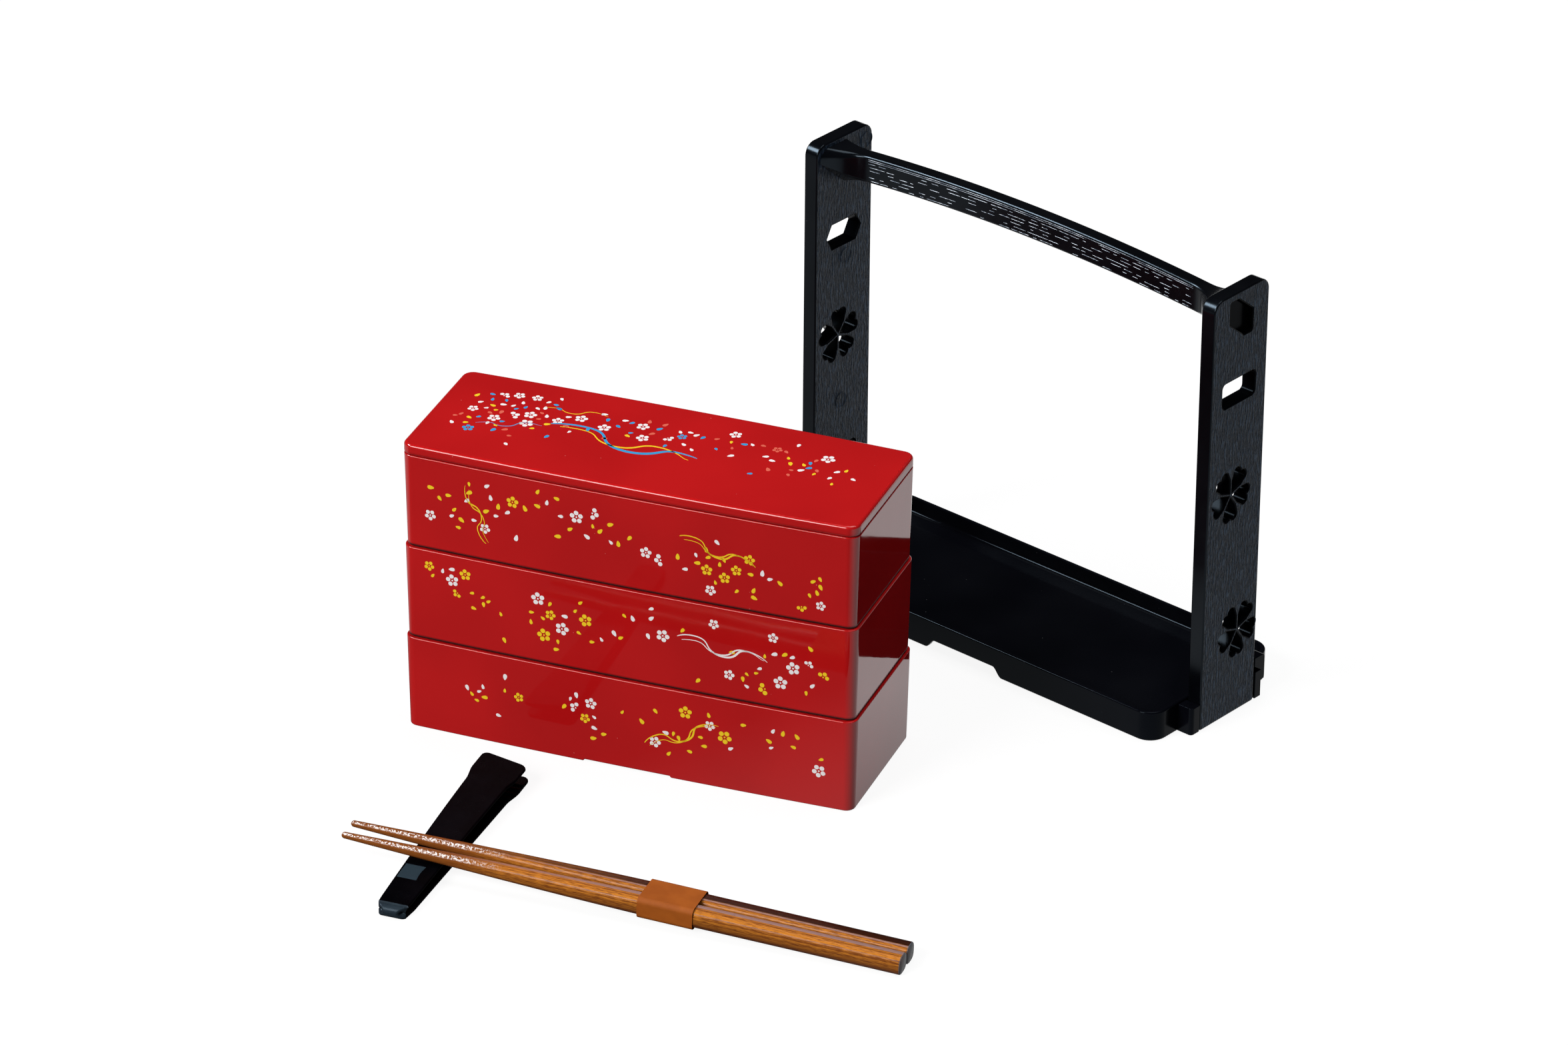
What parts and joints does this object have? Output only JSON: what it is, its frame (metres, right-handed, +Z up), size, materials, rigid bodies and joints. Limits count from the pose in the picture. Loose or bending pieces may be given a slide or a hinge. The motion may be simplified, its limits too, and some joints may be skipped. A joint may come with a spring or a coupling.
{
  "type": "picnic bento box",
  "caption": "Stacking oblong lunch box with lid, a tray and arch-handle carrier with slotted posts, banded chopsticks and small spring tongs.",
  "frame": {"origin": "on the table, under the middle of the whole set's extent", "axes": "+Z up, +X along the box stack's long side, +Y from the chopsticks towards the carrier"},
  "size_m": [0.2938, 0.351, 0.1805],
  "materials": {
    "red_lacquer": "high gloss red lacquer",
    "black_gloss_plastic": "smooth gloss",
    "black_grained_plastic": "satin with a moulded wood grain",
    "tongs_plastic": "semi-gloss",
    "chopstick_wood": "oiled, dark grain",
    "band_paper": "plain uncoated paper"
  },
  "bodies": {
    "base": {"base_tray": "black_gloss_plastic"},
    "handle": {"handle_bar": "black_grained_plastic"},
    "post_left": {"left_post": "black_grained_plastic"},
    "post_right": {"right_post": "black_grained_plastic"},
    "tier_1": {"bottom_tier": "red_lacquer"},
    "tier_2": {"middle_tier": "red_lacquer"},
    "tier_3": {"top_tier": "red_lacquer"},
    "lid": {"box_lid": "red_lacquer"},
    "chopstick_front": {"front_chopstick": "chopstick_wood"},
    "chopstick_rear": {"rear_chopstick": "chopstick_wood"},
    "band": {"paper_band": "band_paper"},
    "tongs_base": {"tongs_lower_arm": "tongs_plastic"},
    "tongs_top": {"tongs_upper_arm": "tongs_plastic"}
  },
  "joints": [
    {"name": "handle_lift", "type": "slide", "parent": "base", "child": "handle", "axis": [0, 0, 1], "range_m": [0, 0.03]},
    {"name": "left_post_pull", "type": "slide", "parent": "handle", "child": "post_left", "axis": [-0.9361, 0.3518, 0], "range_m": [0, 0.012]},
    {"name": "right_post_pull", "type": "slide", "parent": "handle", "child": "post_right", "axis": [0.9361, -0.3518, 0], "range_m": [0, 0.012]},
    {"name": "stack_lift", "type": "slide", "parent": "base", "child": "tier_1", "axis": [0, 0, 1], "range_m": [0, 0.06]},
    {"name": "middle_tier_lift", "type": "slide", "parent": "tier_1", "child": "tier_2", "axis": [0, 0, 1], "range_m": [0, 0.06]},
    {"name": "top_tier_lift", "type": "slide", "parent": "tier_2", "child": "tier_3", "axis": [0, 0, 1], "range_m": [0, 0.06]},
    {"name": "lid_lift", "type": "slide", "parent": "tier_3", "child": "lid", "axis": [0, 0, 1], "range_m": [0, 0.06]},
    {"name": "chopsticks_lift", "type": "slide", "parent": "base", "child": "chopstick_front", "axis": [0, 0, 1], "range_m": [0, 0.04]},
    {"name": "rear_chopstick_draw", "type": "slide", "parent": "chopstick_front", "child": "chopstick_rear", "axis": [0.9996, 0, -0.0295], "range_m": [0, 0.04]},
    {"name": "band_slide", "type": "slide", "parent": "chopstick_front", "child": "band", "axis": [-0.9996, 0, 0.0295], "range_m": [0, 0.05]},
    {"name": "tongs_draw", "type": "slide", "parent": "base", "child": "tongs_base", "axis": [-1, 0, 0], "range_m": [0, 0.05]},
    {"name": "tongs_squeeze", "type": "hinge", "parent": "tongs_base", "child": "tongs_top", "pos_m": [-0.09711, -0.17297, 0.0025], "axis": [1, 0, 0], "range_deg": [-1.8, 0], "stiffness_Nm_per_rad": 2}
  ]
}
